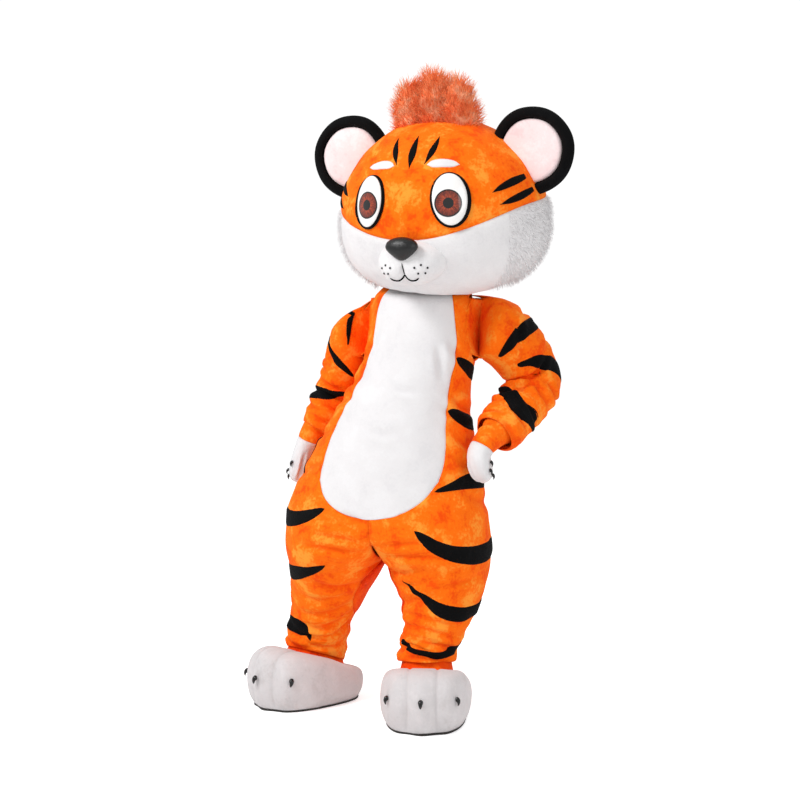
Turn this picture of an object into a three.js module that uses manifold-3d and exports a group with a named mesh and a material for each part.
// Tiger mascot costume, worn and posed with no wearer inside.
// Millimetres, +Z up, front faces -Y, the costume's own left is +X.
// Every cloth piece is a thin wall thickened inwards from a sheet of outer points.

import * as THREE from 'three';
import Module from 'manifold-3d';
import { mergeVertices } from 'three/addons/utils/BufferGeometryUtils.js';

const wasm = await Module();
wasm.setup();

// ---------------------------------------------------------------- driving sizes

const HOLD = new THREE.Vector3(82, 20, 1350);   // where the wearer's shoulders hold it, above the floor

const WALL = {
  plush: 2.6,      // suit cloth, pile included
  stripe: 1.6,     // stripe plush laid on the panels
  glove: 3,
  paw: 6,          // foam-backed plush
  collar: 2.6,
  head: 11,        // moulded head with its plush
};

const SEAM = 0.2;            // each piece stops this far short of a seam line
const LAID = 0.6;            // what lies on a panel floats this far above it
const CUT_GAP = 0.35;        // what is cut by its neighbour stays this far off it

const PANEL_COLUMNS = { front: 5, back: 4 };     // facets across each panel
const BELLY_COLUMNS = 6;
const GUSSET_COLUMNS = 3;

const ARMHOLE = { z: 1217, halfHeight: 104, halfTurn: 0.155, rows: 7 };   // halfTurn: share of half the girth

const COLOUR = {
  orange: 0xf4730f,
  deepOrange: 0xee5a06,
  white: 0xecebea,
  greyWhite: 0xdcd8d6,
  black: 0x0a0a0c,
  pink: 0xeed8d8,
  tuft: 0xf2692c,
  sole: 0x3a3633,
};

// ---------------------------------------------------------------- small maths

const radians = THREE.MathUtils.degToRad;
const lerp = THREE.MathUtils.lerp;

// Reads one named column of a table at `at`, easing between its rows (Catmull-Rom).
function column(table, key, name, at) {
  const rising = table[0][key] < table[table.length - 1][key];
  const rows = rising ? table : [...table].reverse();
  const last = rows.length - 1;
  if (at <= rows[0][key]) return rows[0][name];
  if (at >= rows[last][key]) return rows[last][name];
  let i = 0;
  while (rows[i + 1][key] < at) i += 1;
  const before = rows[Math.max(i - 1, 0)];
  const from = rows[i];
  const to = rows[i + 1];
  const after = rows[Math.min(i + 2, last)];
  const span = to[key] - from[key];
  const share = (at - from[key]) / span;
  const slopeFrom = ((to[name] - before[name]) / (to[key] - before[key])) * span;
  const slopeTo = ((after[name] - from[name]) / (after[key] - from[key])) * span;
  const s2 = share * share;
  const s3 = s2 * share;
  return (2 * s3 - 3 * s2 + 1) * from[name] + (s3 - 2 * s2 + share) * slopeFrom
    + (3 * s2 - 2 * s3) * to[name] + (s3 - s2) * slopeTo;
}

function spread(count, make) {
  return Array.from({ length: count }, (_, i) => make(i / (count - 1), i));
}

// ---------------------------------------------------------------- sheets and walls

// A sheet is { points, triangles, index }: a merged, open triangle mesh facing outwards.
function sheetFromGrid(grid, { ring = false, flip = false } = {}) {
  const points = [];
  const known = new Map();
  const place = (p) => {
    const key = [p.x, p.y, p.z].map((v) => Math.round(v * 100)).join();
    if (!known.has(key)) {
      known.set(key, points.length);
      points.push(p);
    }
    return known.get(key);
  };
  const index = grid.map((row) => row.map(place));
  const columns = grid[0].length;
  const triangles = [];
  const face = (a, b, c) => {
    if (a === b || b === c || c === a) return;
    triangles.push(flip ? [a, c, b] : [a, b, c]);
  };
  for (let i = 0; i + 1 < grid.length; i += 1) {
    for (let j = 0; j < (ring ? columns : columns - 1); j += 1) {
      const k = (j + 1) % columns;
      face(index[i][j], index[i + 1][j], index[i + 1][k]);
      face(index[i][j], index[i + 1][k], index[i][k]);
    }
  }
  return { points, triangles, index };
}

// Gives each point of a grid its normal, so that pieces cut from the grid meet squarely.
function faced(grid, options) {
  const sheet = sheetFromGrid(grid, options);
  const normals = sheetNormals(sheet);
  return grid.map((row, i) => row.map((p, j) => (
    Object.assign(p.clone(), { normal: normals[sheet.index[i][j]] }))));
}

// The same on a grid one column wider at both ends, without those columns.
function trimmed(wideGrid, flip) {
  return faced(wideGrid, { flip }).map((row) => row.slice(1, -1));
}

function sheetNormals({ points, triangles }) {
  const normals = points.map(() => new THREE.Vector3());
  const ab = new THREE.Vector3();
  const ac = new THREE.Vector3();
  for (const [a, b, c] of triangles) {
    ab.subVectors(points[b], points[a]);
    ac.subVectors(points[c], points[a]);
    ab.cross(ac);
    for (const i of [a, b, c]) normals[i].add(ab);
  }
  return normals.map((n) => n.normalize());
}

// Moves a sheet along its normals: `outer` is its outside, `inner` its inside, both measured outwards.
function thicken(sheet, outer, inner) {
  const facing = sheetNormals(sheet);
  const normals = sheet.points.map((p, i) => p.normal ?? facing[i]);
  const count = sheet.points.length;
  const at = (i, d) => sheet.points[i].clone().addScaledVector(normals[i], d);
  const points = [
    ...sheet.points.map((_, i) => at(i, outer)),
    ...sheet.points.map((_, i) => at(i, inner)),
  ];
  const triangles = [];
  const edges = new Set();
  for (const [a, b, c] of sheet.triangles) {
    triangles.push([a, b, c], [a + count, c + count, b + count]);
    edges.add(`${a},${b}`).add(`${b},${c}`).add(`${c},${a}`);
  }
  for (const edge of edges) {
    const [a, b] = edge.split(',').map(Number);
    if (edges.has(`${b},${a}`)) continue;
    triangles.push([b, a, a + count], [b, a + count, b + count]);
  }
  return solidFrom(points, triangles);
}

function solidFrom(points, triangles) {
  return new wasm.Manifold(new wasm.Mesh({
    numProp: 3,
    vertProperties: new Float32Array(points.flatMap((p) => [p.x, p.y, p.z])),
    triVerts: new Uint32Array(triangles.flat()),
  }));
}

// A closed skin with no hollow, from a grid whose end rows shrink to points.
function solidFromGrid(grid, options) {
  const sheet = sheetFromGrid(grid, options);
  return solidFrom(sheet.points, sheet.triangles);
}

function geometryOf(solid) {
  const mesh = solid.getMesh();
  const geometry = new THREE.BufferGeometry();
  geometry.setAttribute('position', new THREE.BufferAttribute(new Float32Array(mesh.vertProperties), 3));
  geometry.setIndex(new THREE.BufferAttribute(new Uint32Array(mesh.triVerts), 1));
  geometry.computeVertexNormals();
  return geometry;
}

function addPiece(group, name, solid, colour, roughness = 0.95) {
  const material = new THREE.MeshStandardMaterial({ color: colour, roughness, metalness: 0 });
  material.name = name;
  const mesh = new THREE.Mesh(geometryOf(solid), material);
  mesh.name = name;
  group.add(mesh);
  return mesh;
}

// A copy of a point moved a distance towards another, its normal kept.
function towards(from, to, distance) {
  const step = new THREE.Vector3().subVectors(to, from);
  const moved = from.clone().addScaledVector(step.normalize(), distance);
  return Object.assign(moved, { normal: from.normal });
}

// Pulls the first and last point of each row off its seam.
function offSeams(grid) {
  return grid.map((row) => {
    const end = row.length - 1;
    const moved = [...row];
    const wide = row[0].distanceTo(row[1]) > SEAM * 2;
    if (!wide) return moved;
    moved[0] = towards(row[0], row[1], SEAM);
    moved[end] = towards(row[end], row[end - 1], SEAM);
    return moved;
  });
}

// ---------------------------------------------------------------- the suit's form

// Trunk: z, the centre plane's x, cy and depth b, then each half's own centre c and half width a.
const TRUNK = [
  { z: 1378, plane: 85, cy: 26, b: 86, leftC: 85, leftA: 94, rightC: 85, rightA: 94 },
  { z: 1346, plane: 80, cy: 22, b: 106, leftC: 80, leftA: 128, rightC: 80, rightA: 128 },
  { z: 1321, plane: 76, cy: 20, b: 130, leftC: 76, leftA: 150, rightC: 76, rightA: 150 },
  { z: 1290, plane: 72, cy: 20, b: 152, leftC: 72, leftA: 163, rightC: 72, rightA: 163 },
  { z: 1220, plane: 70, cy: 20, b: 168, leftC: 70, leftA: 168, rightC: 70, rightA: 168 },
  { z: 1141, plane: 66, cy: 18, b: 172, leftC: 66, leftA: 176, rightC: 66, rightA: 176 },
  { z: 1060, plane: 43, cy: 14, b: 178, leftC: 43, leftA: 184, rightC: 43, rightA: 184 },
  { z: 984, plane: 19, cy: 8, b: 188, leftC: 19, leftA: 205, rightC: 19, rightA: 205 },
  { z: 905, plane: 0, cy: 0, b: 198, leftC: 0, leftA: 230, rightC: 0, rightA: 230 },
  { z: 825, plane: -13, cy: -2, b: 207, leftC: -13, leftA: 262, rightC: -13, rightA: 260 },
  { z: 730, plane: -28, cy: -6, b: 217, leftC: -26, leftA: 293, rightC: -30, rightA: 293 },
  { z: 640, plane: -40, cy: -10, b: 223, leftC: -5, leftA: 285, rightC: -75, rightA: 285 },
  { z: 570, plane: -41, cy: -10, b: 222, leftC: 58, leftA: 234, rightC: -136, rightA: 229 },
  { z: 520, plane: -41, cy: -10, b: 212, leftC: 102, leftA: 194, rightC: -176, rightA: 190 },
  { z: 478, plane: -41, cy: -10, b: 198, leftC: 127, leftA: 168, rightC: -199, rightA: 158 },
];

// Legs below the crotch: z, centre cx and cy, half width a, depth b, the gusset's half turn in degrees,
// and how far the ring's front is tilted up over the instep.
const LEG = {
  left: [
    { z: 478, cx: 127, cy: -10, a: 168, b: 198, gusset: 0, tilt: 0 },
    { z: 450, cx: 131, cy: -14, a: 158, b: 182, gusset: 22, tilt: 0 },
    { z: 415, cx: 136, cy: -22, a: 146, b: 162, gusset: 34, tilt: 0 },
    { z: 375, cx: 142, cy: -33, a: 131, b: 141, gusset: 34, tilt: 0 },
    { z: 335, cx: 142, cy: -46, a: 118, b: 124, gusset: 24, tilt: 0 },
    { z: 300, cx: 137, cy: -58, a: 107, b: 111, gusset: 0, tilt: 0 },
    { z: 266, cx: 129, cy: -69, a: 96, b: 99, gusset: 0, tilt: 2 },
    { z: 246, cx: 123, cy: -75, a: 101, b: 105, gusset: 0, tilt: 4 },
    { z: 227, cx: 116, cy: -80, a: 90, b: 93, gusset: 0, tilt: 6 },
    { z: 208, cx: 112, cy: -84, a: 91, b: 94, gusset: 0, tilt: 8 },
    { z: 186, cx: 109, cy: -87, a: 94, b: 96, gusset: 0, tilt: 10 },
    { z: 172, cx: 108, cy: -88, a: 91, b: 93, gusset: 0, tilt: 17 },
  ],
  right: [
    { z: 478, cx: -199, cy: -10, a: 158, b: 198, gusset: 0, tilt: 0 },
    { z: 448, cx: -206, cy: -5, a: 148, b: 176, gusset: 22, tilt: 0 },
    { z: 410, cx: -217, cy: 3, a: 137, b: 152, gusset: 34, tilt: 0 },
    { z: 366, cx: -235, cy: 13, a: 124, b: 132, gusset: 34, tilt: 0 },
    { z: 325, cx: -248, cy: 23, a: 113, b: 118, gusset: 24, tilt: 0 },
    { z: 285, cx: -264, cy: 33, a: 105, b: 108, gusset: 0, tilt: 2 },
    { z: 254, cx: -276, cy: 40, a: 97, b: 100, gusset: 0, tilt: 6 },
    { z: 230, cx: -281, cy: 45, a: 105, b: 109, gusset: 0, tilt: 12 },
    { z: 206, cx: -288, cy: 50, a: 93, b: 96, gusset: 0, tilt: 18 },
    { z: 182, cx: -292, cy: 54, a: 103, b: 107, gusset: 0, tilt: 22 },
    { z: 164, cx: -295, cy: 55, a: 95, b: 98, gusset: 0, tilt: 29 },
    { z: 148, cx: -297, cy: 56, a: 97, b: 100, gusset: 0, tilt: 34 },
  ],
};

// Where each ankle stands and the way its foot points, in degrees from straight ahead.
const FOOT = {
  left: { x: 108, y: -88, yaw: 9 },
  right: { x: -297, y: 56, yaw: -30 },
};

// Belly panel's half turn, as a share of the half girth, from the neck to its round foot.
const BELLY = [
  { z: 1378, turn: 0.235 },
  { z: 1290, turn: 0.262 },
  { z: 1190, turn: 0.285 },
  { z: 1030, turn: 0.286 },
  { z: 951, turn: 0.285 },
  { z: 873, turn: 0.276 },
  { z: 800, turn: 0.256 },
  { z: 731, turn: 0.214 },
  { z: 690, turn: 0.17 },
  { z: 662, turn: 0.122 },
  { z: 645, turn: 0.078 },
  { z: 635, turn: 0.036 },
  { z: 631, turn: 0 },
];
const BELLY_FOOT = BELLY[BELLY.length - 1].z;

const armholeRows = spread(ARMHOLE.rows, (t) => ARMHOLE.z + ARMHOLE.halfHeight * Math.cos(Math.PI * t));
const TRUNK_ROWS = [
  1378, 1346, ...armholeRows, 1062, 1006, 950, 896, 844, 792, 745, 706, 674, 651, 638,
  BELLY_FOOT, 590, 545, 505, 478,
];

function armholeTurn(z) {
  const height = (z - ARMHOLE.z) / ARMHOLE.halfHeight;
  if (Math.abs(height) >= 1) return 0;
  return ARMHOLE.halfTurn * Math.sqrt(1 - height * height);
}

function bellyTurn(z) {
  return z <= BELLY_FOOT ? 0 : Math.max(0, column(BELLY, 'z', 'turn', z));
}

// A point of the suit's outside. turn: 0 at the front seam, 0.5 at the side seam, 1 at the back seam.
function suitPoint(side, z, turn) {
  const sign = side === 'left' ? 1 : -1;
  const legs = LEG[side];
  let centre;
  let half;
  let depth;
  let cy;
  let reach;
  if (z >= legs[0].z) {
    const plane = column(TRUNK, 'z', 'plane', z);
    centre = column(TRUNK, 'z', `${side}C`, z);
    half = column(TRUNK, 'z', `${side}A`, z);
    depth = column(TRUNK, 'z', 'b', z);
    cy = column(TRUNK, 'z', 'cy', z);
    const off = (sign * (centre - plane)) / half;
    reach = Math.acos(THREE.MathUtils.clamp(-off, -1, 1));
    if (z <= legs[0].z) reach = Math.PI;
  } else {
    centre = column(legs, 'z', 'cx', z);
    half = column(legs, 'z', 'a', z);
    depth = column(legs, 'z', 'b', z);
    cy = column(legs, 'z', 'cy', z);
    reach = Math.PI - radians(Math.max(0, column(legs, 'z', 'gusset', z)));
  }
  const angle = lerp(-reach, reach, turn);
  const tilt = z < legs[0].z ? column(legs, 'z', 'tilt', z) : 0;
  return tiltedPoint(side, { cx: centre, cy, a: half, b: depth, z, tilt }, angle);
}

// A point of an upright ellipse, lifted towards the way that side's foot points.
function tiltedPoint(side, row, angle) {
  const sign = side === 'left' ? 1 : -1;
  const yaw = radians(FOOT[side].yaw);
  const dx = sign * row.a * Math.cos(angle);
  const dy = row.b * Math.sin(angle);
  const ahead = (dx * Math.sin(yaw) - dy * Math.cos(yaw)) / row.a;
  return new THREE.Vector3(row.cx + dx, row.cy + dy, row.z + row.tilt * ahead);
}

// Shares from `from` to `to`, with one more step past each end.
function wideSpread(count, from, to, make) {
  const step = Math.max((to - from) / count, 0.004);
  return [from - step, ...spread(count + 1, (t) => lerp(from, to, t)), to + step].map(make);
}

function legRows(side) {
  return LEG[side].slice(1).map((row) => row.z);
}

function suitRows(side) {
  return [...TRUNK_ROWS, ...legRows(side)];
}

// Outer points of a front or back panel, seam to seam.
function panelGrid(side, face) {
  const wide = suitRows(side).map((z) => {
    const hole = armholeTurn(z);
    const from = face === 'front' ? bellyTurn(z) : 0.5 + hole;
    const to = face === 'front' ? 0.5 - hole : 1;
    return wideSpread(PANEL_COLUMNS[face], from, to, (turn) => suitPoint(side, z, turn));
  });
  return trimmed(wide, side === 'right');
}

// The whole outside of one half, front seam to back seam, for what lies on it.
function halfSheet(side) {
  const back = panelGrid(side, 'back');
  const grid = panelGrid(side, 'front').map((row, i) => [...row, ...back[i].slice(1)]);
  return sheetFromGrid(grid, { flip: side === 'right' });
}

function bellyGrid() {
  const lift = 2.5 * SEAM;      // the round foot stops this far above the front panels
  const rows = TRUNK_ROWS.filter((z) => z >= BELLY_FOOT).map((z) => Math.max(z, BELLY_FOOT + lift));
  const wide = rows.map((z) => {
    const reach = bellyTurn(z - lift);
    return wideSpread(BELLY_COLUMNS, -reach, reach, (turn) => (
      suitPoint(turn < 0 ? 'right' : 'left', z, Math.abs(turn))));
  });
  return trimmed(wide, false);
}

function gussetGrid(side) {
  const opens = (row) => (row?.gusset ?? 0) > 0;
  const rows = LEG[side].filter((row, i, all) => opens(row) || opens(all[i + 1]) || opens(all[i - 1]));
  const wide = rows.map((row) => wideSpread(GUSSET_COLUMNS, -1, 1, (share) => (
    tiltedPoint(side, row, Math.PI + radians(share * row.gusset)))));
  return trimmed(wide, side === 'right');
}

function buildSuit(group) {
  for (const side of ['left', 'right']) {
    for (const face of ['front', 'back']) {
      const sheet = sheetFromGrid(offSeams(panelGrid(side, face)), { flip: side === 'right' });
      addPiece(group, `suit_${face}_${side}`, thicken(sheet, 0, -WALL.plush), COLOUR.orange);
    }
    const gusset = sheetFromGrid(offSeams(gussetGrid(side)), { flip: side === 'right' });
    addPiece(group, `gusset_${side}`, thicken(gusset, 0, -WALL.plush), COLOUR.deepOrange);
  }
  const belly = sheetFromGrid(offSeams(bellyGrid()));
  addPiece(group, 'belly_panel', thicken(belly, 0, -WALL.plush), COLOUR.white);
}

// ---------------------------------------------------------------- sleeves

// Rings down each arm: centre x, y, z, half height r (across the arm) and half depth d.
// `turn` is how far, in degrees, the ring still leans back towards the armhole's own plane.
const ARM = {
  left: [
    { x: 276, y: 26, z: 1213, r: 103, d: 86, turn: 6 },
    { x: 314, y: 38, z: 1194, r: 100, d: 85, turn: 4 },
    { x: 348, y: 58, z: 1161, r: 95, d: 84, turn: 0 },
    { x: 376, y: 84, z: 1118, r: 91, d: 82, turn: 0 },
    { x: 398, y: 108, z: 1078, r: 86, d: 84, turn: 0 },
    { x: 409, y: 110, z: 1040, r: 88, d: 86, turn: 0 },
    { x: 396, y: 78, z: 1000, r: 80, d: 78, turn: 0 },
    { x: 374, y: 38, z: 964, r: 83, d: 78, turn: 0 },
    { x: 352, y: -8, z: 930, r: 74, d: 72, turn: 0 },
    { x: 334, y: -42, z: 908, r: 77, d: 72, turn: 0 },
    { x: 317, y: -75, z: 888, r: 68, d: 62, turn: 0 },
  ],
  right: [
    { x: -150, y: 34, z: 1190, r: 76, d: 80, turn: 22 },
    { x: -173, y: 50, z: 1158, r: 68, d: 77, turn: 12 },
    { x: -190, y: 70, z: 1114, r: 66, d: 73, turn: 2 },
    { x: -208, y: 94, z: 1068, r: 67, d: 72, turn: 0 },
    { x: -226, y: 108, z: 1026, r: 70, d: 72, turn: 0 },
    { x: -244, y: 110, z: 988, r: 65, d: 68, turn: 0 },
    { x: -262, y: 106, z: 952, r: 68, d: 68, turn: 0 },
    { x: -280, y: 100, z: 918, r: 61, d: 62, turn: 0 },
    { x: -300, y: 94, z: 880, r: 60, d: 58, turn: 0 },
  ],
};

// Rings of points round a path, kept from twisting, each starting at its top.
function ringsAlong(path, start, up, count) {
  const centres = path.map((row) => new THREE.Vector3(row.x, row.y, row.z));
  const top = up.clone();
  return centres.map((centre, i) => {
    const ahead = centres[Math.min(i + 1, centres.length - 1)];
    const behind = centres[i - 1] ?? start;
    const along = new THREE.Vector3().subVectors(ahead, behind).normalize();
    top.addScaledVector(along, -top.dot(along)).normalize();
    const front = new THREE.Vector3().crossVectors(along, top);
    const tipped = top.clone().applyAxisAngle(front, radians(path[i].turn ?? 0));
    return spread(count + 1, (t) => {
      const angle = t * 2 * Math.PI;
      return centre.clone()
        .addScaledVector(tipped, path[i].r * Math.cos(angle))
        .addScaledVector(front, path[i].d * Math.sin(angle));
    }).slice(0, count);
  });
}

const ARM_COLUMNS = 2 * (ARMHOLE.rows - 1);

function armholeRing(side) {
  const front = armholeRows.map((z) => suitPoint(side, z, 0.5 - armholeTurn(z)));
  const back = armholeRows.map((z) => suitPoint(side, z, 0.5 + armholeTurn(z))).reverse();
  const ring = [...front, ...back.slice(1, -1)];
  const out = side === 'left' ? 1 : -1;
  return ring.map((p) => p.clone().add(new THREE.Vector3(out * 2 * LAID, 0, 0)));
}

function sleeveGrid(side) {
  const start = suitPoint(side, ARMHOLE.z, 0.5);
  const rings = ringsAlong(ARM[side], start, new THREE.Vector3(0, 0, 1), ARM_COLUMNS);
  // round the ring the way the armhole's points run: down the front, up the back
  const ordered = side === 'right' ? rings : rings.map((ring) => [ring[0], ...ring.slice(1).reverse()]);
  return [armholeRing(side), ...ordered];
}

function sleeveSheet(side) {
  return sheetFromGrid(sleeveGrid(side), { ring: true, flip: side === 'right' });
}

function buildSleeves(group) {
  for (const side of ['left', 'right']) {
    addPiece(group, `sleeve_${side}`, thicken(sleeveSheet(side), 0, -WALL.plush), COLOUR.orange);
  }
}

// ---------------------------------------------------------------- gloves

const HAND = {
  left: [
    { x: 326, y: -56, z: 900, r: 50, d: 46 },
    { x: 305, y: -90, z: 876, r: 48, d: 42 },
    { x: 286, y: -108, z: 850, r: 50, d: 38 },
    { x: 276, y: -112, z: 822, r: 54, d: 36 },
    { x: 280, y: -108, z: 792, r: 52, d: 32 },
    { x: 288, y: -100, z: 766, r: 44, d: 27 },
    { x: 294, y: -94, z: 752, r: 26, d: 17 },
    { x: 296, y: -92, z: 748, r: 0, d: 0 },
  ],
  right: [
    { x: -292, y: 90, z: 902, r: 46, d: 44 },
    { x: -310, y: 88, z: 872, r: 46, d: 42 },
    { x: -324, y: 86, z: 842, r: 52, d: 40 },
    { x: -338, y: 84, z: 806, r: 60, d: 38 },
    { x: -350, y: 80, z: 768, r: 58, d: 36 },
    { x: -360, y: 74, z: 732, r: 48, d: 31 },
    { x: -366, y: 69, z: 712, r: 30, d: 20 },
    { x: -368, y: 67, z: 706, r: 0, d: 0 },
  ],
};
// Claws on the fingers: place down the hand's rings and turn round them.
const HAND_CLAWS = {
  left: [[3.4, 0.86], [4.3, 0.9], [5.2, 0.84]],
  right: [[4.1, 0.08], [4.9, 0.17], [5.5, 0.26]],
};
const HAND_CLAW = { length: 20, radius: 7 };
const CUFF_RINGS = 3;         // the first rings are the orange cuff
const HAND_COLUMNS = 14;

function handRings(side) {
  const up = side === 'left' ? new THREE.Vector3(0.3, -1, 0.2) : new THREE.Vector3(0, -1, 0);
  const first = HAND[side][0];
  const start = new THREE.Vector3(first.x, first.y, first.z);
  return faced(ringsAlong(HAND[side], start, up, HAND_COLUMNS), { ring: true, flip: true });
}

function buildGloves(group) {
  for (const side of ['left', 'right']) {
    const rings = handRings(side);
    const ring = { ring: true, flip: true };
    const last = rings[CUFF_RINGS - 1].map((p, j) => towards(p, rings[CUFF_RINGS - 2][j], 2 * SEAM));
    const cuff = sheetFromGrid([...rings.slice(0, CUFF_RINGS - 1), last], ring);
    const hand = sheetFromGrid(rings.slice(CUFF_RINGS - 1), ring);
    addPiece(group, `glove_cuff_${side}`, thicken(cuff, 0, -WALL.glove), COLOUR.orange);
    addPiece(group, `glove_hand_${side}`, thicken(hand, 0, -WALL.glove), COLOUR.white);
    const pointAt = onRings(rings, -1);
    HAND_CLAWS[side].forEach(([place, turn], i) => {
      const out = outward(pointAt, place, turn);
      const down = new THREE.Vector3(0, 0, -1);
      const horn = claw(pointAt(place, turn), out, down, HAND_CLAW.length, HAND_CLAW.radius);
      addPiece(group, `glove_claw_${side}_${i + 1}`, horn, COLOUR.black, 0.2);
    });
  }
}

// ---------------------------------------------------------------- stripes

// Each stripe's spine on one half of the suit: turn round the girth, height, half width.
const BODY_STRIPES = {
  chest_left: {
    side: 'left',
    spine: [[0.25, 1128, 4], [0.34, 1106, 17], [0.5, 1070, 26], [0.66, 1062, 13], [0.76, 1066, 4]],
  },
  waist_left: {
    side: 'left',
    spine: [[0.27, 968, 4], [0.34, 946, 19], [0.46, 918, 30], [0.6, 912, 17], [0.7, 920, 4]],
  },
  hip_left: {
    side: 'left',
    spine: [[0.2, 716, 4], [0.28, 730, 13], [0.38, 744, 27], [0.52, 734, 22], [0.66, 742, 4]],
  },
  thigh_left: {
    side: 'left',
    spine: [[0.14, 612, 4], [0.2, 566, 20], [0.28, 532, 25], [0.4, 516, 31], [0.52, 530, 28], [0.64, 556, 4]],
  },
  shin_left: {
    side: 'left',
    spine: [[0.1, 446, 4], [0.17, 384, 17], [0.26, 346, 25], [0.4, 334, 25], [0.56, 352, 18], [0.68, 378, 4]],
  },
  ankle_left: {
    side: 'left',
    spine: [[0.1, 252, 9], [0.18, 214, 11], [0.26, 214, 8], [0.34, 198, 12], [0.46, 222, 9], [0.6, 246, 4]],
  },
  hip_right: {
    side: 'right',
    spine: [[0.15, 664, 4], [0.22, 634, 20], [0.34, 612, 27], [0.48, 618, 29], [0.6, 636, 4]],
  },
  thigh_right: {
    side: 'right',
    spine: [[0.2, 486, 4], [0.28, 458, 18], [0.38, 440, 27], [0.5, 444, 27], [0.62, 462, 4]],
  },
  shin_right: {
    side: 'right',
    spine: [[0.24, 190, 4], [0.27, 228, 17], [0.34, 250, 27], [0.46, 258, 22], [0.58, 272, 4]],
  },
  waist_right: {
    side: 'right',
    spine: [[0.42, 870, 4], [0.47, 830, 15], [0.5, 800, 18], [0.46, 768, 13], [0.4, 752, 4]],
  },
};

// The same on a sleeve: place down the rings, turn round from the top and down the front, half width.
const ARM_STRIPES = {
  upper_right: {
    side: 'right',
    spine: [[0.9, 1.02, 8], [0.95, 0.9, 12], [0.95, 0.76, 11], [1.1, 0.62, 0]],
  },
  elbow_right: {
    side: 'right',
    spine: [[2.2, 0.9, 15], [2.4, 0.76, 18], [2.9, 0.64, 13], [3.6, 0.54, 4]],
  },
  forearm_right: {
    side: 'right',
    spine: [[7.2, 1.08, 16], [6.7, 0.92, 25], [5.9, 0.7, 17], [4.9, 0.56, 4]],
  },
  upper_left: {
    side: 'left',
    spine: [[2.5, 0.62, 4], [2.4, 0.74, 19], [2.6, 0.84, 26], [3, 0.98, 22], [3.2, 1.1, 4]],
  },
  elbow_left: {
    side: 'left',
    spine: [[3.6, 0.66, 4], [3.9, 0.76, 19], [4.8, 0.84, 28], [5.6, 0.97, 29], [6, 1.1, 4]],
  },
  forearm_left: {
    side: 'left',
    spine: [[8, 0.55, 11], [8.5, 0.68, 25], [9, 0.8, 31], [8.7, 0.92, 27], [8.6, 1.06, 4]],
  },
};
const STRIPE_STEPS = 7;

// A cutter that holds a stripe's outline, as deep as `reach` on both sides of the surface.
function stripeCutter(spine, pointAt, reach) {
  const table = spine.map(([u, v, width], i) => ({ i, u, v, width }));
  const at = (name, share) => column(table, 'i', name, share * (spine.length - 1));
  const middle = (share) => pointAt(at('u', share), at('v', share));
  const step = 0.01;
  const grid = spread(STRIPE_STEPS + 1, (share) => {
    const here = middle(share);
    const along = middle(Math.min(share + step, 1)).sub(middle(Math.max(share - step, 0))).normalize();
    const out = outward(pointAt, at('u', share), at('v', share));
    const across = new THREE.Vector3().crossVectors(out, along).normalize();
    const width = Math.max(at('width', share), 0);
    return [-width, width].map((off) => (
      Object.assign(here.clone().addScaledVector(across, off), { normal: out })));
  });
  return thicken(sheetFromGrid(grid), reach, -reach);
}

// The surface's outward direction at (u, v) on it, found from its neighbours.
function outward(pointAt, u, v) {
  const { stepU, stepV, facing } = pointAt;
  const alongU = pointAt(u + stepU, v).sub(pointAt(u - stepU, v));
  const alongV = pointAt(u, v + stepV).sub(pointAt(u, v - stepV));
  return new THREE.Vector3().crossVectors(alongU, alongV).normalize().multiplyScalar(facing);
}

function onSuit(side) {
  const pointAt = (turn, z) => suitPoint(side, z, turn);
  return Object.assign(pointAt, { stepU: 0.02, stepV: 4, facing: side === 'left' ? 1 : -1 });
}

// A point on rings, `place` counted in rings from the first and `turn` round each ring.
function onRings(grid, facing) {
  const count = grid[0].length;
  const pointAt = (place, turn) => {
    const i = THREE.MathUtils.clamp(Math.floor(place), 0, grid.length - 2);
    const j = Math.floor(turn * count);
    const a = (j + count) % count;
    const b = (j + 1 + count) % count;
    const inRow = (row) => grid[row][a].clone().lerp(grid[row][b], turn * count - j);
    return inRow(i).lerp(inRow(i + 1), place - i);
  };
  return Object.assign(pointAt, { stepU: 0.04, stepV: 0.02, facing });
}

function onSleeve(side) {
  return onRings(sleeveGrid(side), side === 'left' ? -1 : 1);
}

function buildStripes(group) {
  const lay = (name, sheet, { spine }, pointAt) => {
    const skin = thicken(sheet, LAID + WALL.stripe, LAID);
    const cut = skin.intersect(stripeCutter(spine, pointAt, 26));
    addPiece(group, `stripe_${name}`, cut, COLOUR.black);
  };
  const halves = { left: halfSheet('left'), right: halfSheet('right') };
  for (const [name, stripe] of Object.entries(BODY_STRIPES)) {
    lay(name, halves[stripe.side], stripe, onSuit(stripe.side));
  }
  for (const [name, stripe] of Object.entries(ARM_STRIPES)) {
    lay(name, sleeveSheet(stripe.side), stripe, onSleeve(stripe.side));
  }
}

// A claw: a pointed horn standing on a surface point, tipped towards `lean`.
function claw(foot, out, lean, length, radius) {
  const steps = 3;
  const sides = 6;
  const side = new THREE.Vector3().crossVectors(out, lean).normalize();
  const rows = spread(steps + 1, (t) => {
    const bend = out.clone().lerp(lean, 0.9 * t).normalize();
    const across = new THREE.Vector3().crossVectors(side, bend);
    const centre = foot.clone().addScaledVector(out, 3 * LAID).addScaledVector(bend, length * t);
    const r = radius * Math.sqrt(1 - t * t) * (1 - 0.35 * t);
    return spread(sides + 1, (u) => {
      const angle = u * 2 * Math.PI;
      return centre.clone()
        .addScaledVector(side, r * Math.cos(angle))
        .addScaledVector(across, r * Math.sin(angle));
    }).slice(0, sides);
  });
  const base = rows[0].map(() => foot.clone().addScaledVector(out, 3 * LAID));
  return solidFromGrid([base, ...rows], { ring: true });
}

// ---------------------------------------------------------------- feet

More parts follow.
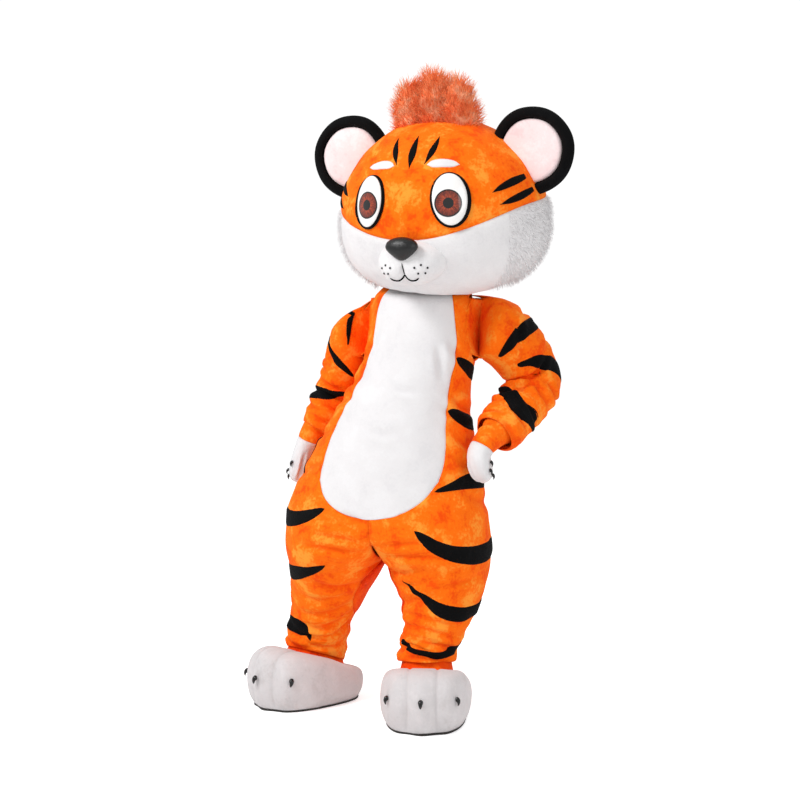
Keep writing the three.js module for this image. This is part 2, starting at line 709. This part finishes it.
// Foot rings by height at the heel: reach ahead of and behind the ankle, half width, toe groove depth,
// and how much higher the ring runs over the toes.
const PAW = [
  { z: 7, front: 232, back: 136, half: 124, groove: 12, rise: 0 },
  { z: 30, front: 250, back: 147, half: 137, groove: 18, rise: 6 },
  { z: 57, front: 258, back: 150, half: 141, groove: 21, rise: 24 },
  { z: 78, front: 252, back: 145, half: 138, groove: 20, rise: 54 },
  { z: 90, front: 226, back: 132, half: 129, groove: 15, rise: 82 },
  { z: 96, front: 178, back: 115, half: 114, groove: 6, rise: 92 },
  { z: 98, front: 128, back: 103, half: 102, groove: 0, rise: 84 },
  { z: 96, front: 106, back: 95, half: 94, groove: 0, rise: 74 },
];
const COLLAR = [
  { z: 97, front: 103, back: 92, half: 91, groove: 0, rise: 74 },
  { z: 106, front: 90, back: 86, half: 85, groove: 0, rise: 66 },
  { z: 168, front: 77, back: 76, half: 76, groove: 0, rise: 30 },
];
const SOLE = { thickness: 6 };
const TOE_SQUARENESS = 2.5;
const TOE_LIFT_POWER = 1.3;
const TOE_FRONT = 0.3;                    // grooves run only where a ring faces this far ahead
const FOOT_COLUMNS = 22;
const TOE_GROOVES = [-46, 46];           // across the foot, where the two toe seams run
const TOE_GROOVE_WIDTH = 15;
const TOE_ANGLES = [-27, 0, 27];
const PAW_CLAW = { height: 70, length: 26, radius: 10, probe: 2 };
const PAW_CLAW_LEAN = new THREE.Vector3(0, -0.3, -1).normalize();

// Angles round the foot from straight ahead, closer together over the toes.
function footAngles() {
  return spread(FOOT_COLUMNS + 1, (t) => {
    const s = 2 * t - 1;
    return Math.PI * (0.62 * s + 0.38 * s * s * s);
  }).slice(0, FOOT_COLUMNS);
}

function footRing(row, angles = footAngles()) {
  return angles.map((angle) => {
    const ahead = Math.cos(angle);
    const across = Math.sin(angle);
    const reach = ahead > 0 ? row.front : row.back;
    const lengthwise = Math.abs(ahead / reach) ** TOE_SQUARENESS;
    const crosswise = Math.abs(across / row.half) ** TOE_SQUARENESS;
    const r = (lengthwise + crosswise) ** (-1 / TOE_SQUARENESS);
    const x = r * across;
    const dip = TOE_GROOVES.reduce((sum, at) => sum + Math.exp(-(((x - at) / TOE_GROOVE_WIDTH) ** 2)), 0);
    const y = -r * ahead + (ahead > TOE_FRONT ? row.groove * dip : 0);
    const lift = ((1 + ahead) / 2) ** TOE_LIFT_POWER;
    return new THREE.Vector3(x, y, row.z + row.rise * lift);
  });
}

function buildFeet(group) {
  for (const side of ['left', 'right']) {
    const foot = new THREE.Group();
    foot.position.set(FOOT[side].x, FOOT[side].y, 0);
    foot.rotation.z = radians(FOOT[side].yaw);
    group.add(foot);
    const ring = { ring: true, flip: true };
    const paw = sheetFromGrid(PAW.map((row) => footRing(row)), ring);
    const collar = sheetFromGrid(COLLAR.map((row) => footRing(row)), ring);
    addPiece(foot, `paw_${side}`, thicken(paw, 0, -WALL.paw), COLOUR.greyWhite);
    addPiece(foot, `paw_collar_${side}`, thicken(collar, 0, -WALL.collar), COLOUR.deepOrange);
    const edge = footRing({ ...PAW[0], z: 0, rise: 0 });
    const outline = new THREE.Shape(edge.map((p) => new THREE.Vector2(p.x, p.y)));
    const slab = new THREE.ExtrudeGeometry(outline, { depth: SOLE.thickness, bevelEnabled: false });
    addPiece(foot, `sole_${side}`, solidOfGeometry(slab), COLOUR.sole);
    TOE_ANGLES.forEach((turn, i) => {
      const level = { ...interpolated(PAW, PAW_CLAW.height), groove: 0 };
      const [at, next] = footRing(level, [radians(turn), radians(turn + PAW_CLAW.probe)]);
      const along = next.clone().sub(at).normalize();
      const out = new THREE.Vector3(along.y, -along.x, 0);
      if (out.dot(at) < 0) out.negate();
      const horn = claw(at, out, PAW_CLAW_LEAN, PAW_CLAW.length, PAW_CLAW.radius);
      addPiece(foot, `paw_claw_${side}_${i + 1}`, horn, COLOUR.black, 0.25);
    });
  }
}

function interpolated(table, z) {
  const names = Object.keys(table[0]).filter((name) => name !== 'z');
  return Object.fromEntries([['z', z], ...names.map((name) => [name, column(table, 'z', name, z)])]);
}

function solidOfGeometry(geometry) {
  const bare = geometry.clone();
  bare.deleteAttribute('normal');
  bare.deleteAttribute('uv');
  const merged = mergeVertices(bare, 1e-3);
  return new wasm.Manifold(new wasm.Mesh({
    numProp: 3,
    vertProperties: new Float32Array(merged.attributes.position.array),
    triVerts: new Uint32Array(merged.index.array),
  }));
}

// ---------------------------------------------------------------- head

const HEAD = { x: 140, y: -5, z: 1585, yaw: -10, nod: 11 };

// Head sections by height from its centre: half width and half depth.
const SKULL = [
  { h: -264, half: 74, deep: 76 },
  { h: -256, half: 136, deep: 132 },
  { h: -228, half: 224, deep: 204 },
  { h: -180, half: 288, deep: 256 },
  { h: -115, half: 324, deep: 283 },
  { h: -45, half: 335, deep: 293 },
  { h: 25, half: 325, deep: 289 },
  { h: 90, half: 301, deep: 272 },
  { h: 150, half: 264, deep: 241 },
  { h: 203, half: 212, deep: 196 },
  { h: 243, half: 148, deep: 140 },
  { h: 266, half: 80, deep: 76 },
  { h: 274, half: 0, deep: 0 },
];
const HEAD_COLUMNS = 22;
const FACE_LINE = { back: 22, front: -58, halfTurn: 78 };   // height of the orange and white seam
const HEAD_RING = { ring: true, flip: true };
const CHEEK_SHARES = [0, 0.03, 0.13, 0.32, 0.62, 1];
const CROWN_SHARES = [0.26, 0.52, 0.76, 0.92, 1];
const NECK_HOLE = { x: 88, y: 22, z: 1330, radius: 158, deep: 400 };

// Height of the seam between crown and cheeks at an angle from straight ahead, in degrees.
function faceLine(turn) {
  const share = Math.min(Math.abs(turn) / FACE_LINE.halfTurn, 1);
  return lerp(FACE_LINE.front, FACE_LINE.back, share * share * (3 - 2 * share));
}

// A point of the head's outside: turn in degrees from straight ahead, towards its own left.
function skullPoint(turn, h) {
  const half = Math.max(0, column(SKULL, 'h', 'half', h));
  const deep = Math.max(0, column(SKULL, 'h', 'deep', h));
  return new THREE.Vector3(half * Math.sin(radians(turn)), -deep * Math.cos(radians(turn)), h);
}

// The whole head's outside from the neck up, a row of points at each share of the way to the seam and on.
function skullGrid() {
  const turns = spread(HEAD_COLUMNS + 1, (t) => -180 + 360 * t).slice(0, HEAD_COLUMNS);
  const low = SKULL[0].h;
  const high = SKULL[SKULL.length - 1].h;
  const cheeks = CHEEK_SHARES.map((t) => turns.map((turn) => skullPoint(turn, lerp(low, faceLine(turn), t))));
  const crown = CROWN_SHARES.map((t) => turns.map((turn) => skullPoint(turn, lerp(faceLine(turn), high, t))));
  return faced([...cheeks, ...crown], HEAD_RING);
}

// The whole head as one filled skin, grown by `by`, to cut what sits on it.
function skullSolid(by) {
  const grown = skullGrid().map((row) => row.map((p) => p.clone().addScaledVector(p.normal, by)));
  const floor = grown[0].map(() => new THREE.Vector3(0, 0, SKULL[0].h));
  return solidFromGrid([floor, ...grown], HEAD_RING);
}

// An egg of half sizes (x, y, z), before it is placed.
function egg(x, y, z, around = 20, up = 10) {
  const sphere = new THREE.SphereGeometry(1, around, up);
  sphere.scale(x, y, z);
  return sphere;
}

const FACE = {
  muzzle: { half: 108, deep: 86, tall: 72, h: -122, ahead: 262 },
  nose: { half: 52, deep: 30, tall: 34, h: -72, ahead: 338 },
  eye: { turn: 27, h: 58, half: 54, tall: 77, deep: 16 },
  ear: { x: 300, h: 165, y: 6, radius: 132, thick: 46, rim: 36, tip: 6 },
};

// The tuft's reach: three lobes side by side on the crown.
const TUFT = [
  { x: 0, half: 82, tall: 194 },
  { x: -72, half: 72, tall: 158 },
  { x: 72, half: 72, tall: 166 },
];
const TUFT_ROOT = { y: -6, h: 262, deep: 62 };

// The ear's black back and rim, a shallow dish turned on a lathe about its own axis.
function earRimGeometry() {
  const { radius, thick, rim } = FACE.ear;
  const half = thick / 2;
  const dish = radius - rim;
  const profile = [
    [0, -half], [radius - 22, -half], [radius - 5, -half * 0.62], [radius, 0], [radius - 5, half * 0.62],
    [radius - 18, half], [dish + 6, half * 0.8], [dish, half * 0.4], [0, half * 0.2],
  ];
  return new THREE.LatheGeometry(profile.map(([r, y]) => new THREE.Vector2(r, y)), 28);
}

function earPadGeometry() {
  const { radius, thick, rim } = FACE.ear;
  const half = thick / 2;
  const dish = radius - rim - 1;
  const profile = [[0, half * 0.2 + 1], [dish, half * 0.4 + 1], [dish - 8, half * 0.75], [0, half * 0.95]];
  return new THREE.LatheGeometry(profile.map(([r, y]) => new THREE.Vector2(r, y)), 28);
}

function buildHead(group) {
  const head = new THREE.Group();
  head.position.set(HEAD.x, HEAD.y, HEAD.z);
  head.rotation.order = 'ZYX';
  head.rotation.set(radians(HEAD.nod), 0, radians(HEAD.yaw));
  group.add(head);
  head.updateMatrix();

  const hole = new THREE.CylinderGeometry(NECK_HOLE.radius, NECK_HOLE.radius, NECK_HOLE.deep, 32);
  hole.rotateX(Math.PI / 2);
  hole.translate(NECK_HOLE.x, NECK_HOLE.y, NECK_HOLE.z);
  hole.applyMatrix4(head.matrix.clone().invert());
  const rows = skullGrid();
  const seam = CHEEK_SHARES.length - 1;
  const shell = (grid) => thicken(sheetFromGrid(grid, HEAD_RING), 0, -WALL.head);
  const edge = (from, to) => rows[from].map((p, j) => towards(p, rows[to][j], SEAM));
  const cheeks = shell([...rows.slice(0, seam), edge(seam, seam - 1)]);
  const crown = shell([edge(seam, seam + 1), ...rows.slice(seam + 1)]);
  addPiece(head, 'head_crown', crown, COLOUR.orange);
  addPiece(head, 'head_cheeks', cheeks.subtract(solidOfGeometry(hole)), COLOUR.white);

  const skull = skullSolid(CUT_GAP);
  const { muzzle, nose, eye, ear } = FACE;
  const muzzlePad = solidOfGeometry(egg(muzzle.half, muzzle.deep, muzzle.tall).translate(0, -muzzle.ahead, muzzle.h));
  addPiece(head, 'muzzle', muzzlePad.subtract(skull), COLOUR.white);
  const muzzleGrown = solidOfGeometry(egg(muzzle.half + CUT_GAP, muzzle.deep + CUT_GAP, muzzle.tall + CUT_GAP)
    .translate(0, -muzzle.ahead, muzzle.h));
  const nosePad = solidOfGeometry(egg(nose.half, nose.deep, nose.tall, 14, 8).translate(0, -nose.ahead, nose.h));
  addPiece(head, 'nose', nosePad.subtract(muzzleGrown).subtract(skull), COLOUR.black, 0.35);

  for (const [side, sign] of [['left', 1], ['right', -1]]) {
    const dome = egg(eye.half, eye.deep, eye.tall, 16, 8);
    dome.rotateX(radians(-14));
    dome.rotateZ(radians(sign * eye.turn));
    const at = skullPoint(sign * eye.turn, eye.h);
    dome.translate(at.x, at.y, at.z);
    addPiece(head, `eye_${side}`, solidOfGeometry(dome).subtract(skull).subtract(muzzleGrown), COLOUR.white, 0.3);

    const place = (geometry) => {
      geometry.rotateX(Math.PI - radians(ear.tip));
      geometry.translate(sign * ear.x, ear.y, ear.h);
      return solidOfGeometry(geometry);
    };
    addPiece(head, `ear_${side}`, place(earRimGeometry()).subtract(skull), COLOUR.black);
    addPiece(head, `ear_inside_${side}`, place(earPadGeometry()).subtract(skull), COLOUR.pink);
  }

  const lobes = TUFT.map(({ x, half, tall }) => (
    solidOfGeometry(egg(half, TUFT_ROOT.deep, tall, 10, 8).translate(x, TUFT_ROOT.y, TUFT_ROOT.h))));
  const crest = lobes.reduce((all, lobe) => all.add(lobe));
  addPiece(head, 'tuft', crest.subtract(skull), COLOUR.tuft);
}

const root = new THREE.Group();
const costume = new THREE.Group();
root.add(costume);
costume.position.copy(HOLD).negate();
buildSuit(costume);
buildSleeves(costume);
buildStripes(costume);
buildGloves(costume);
buildFeet(costume);
buildHead(costume);

export default root;
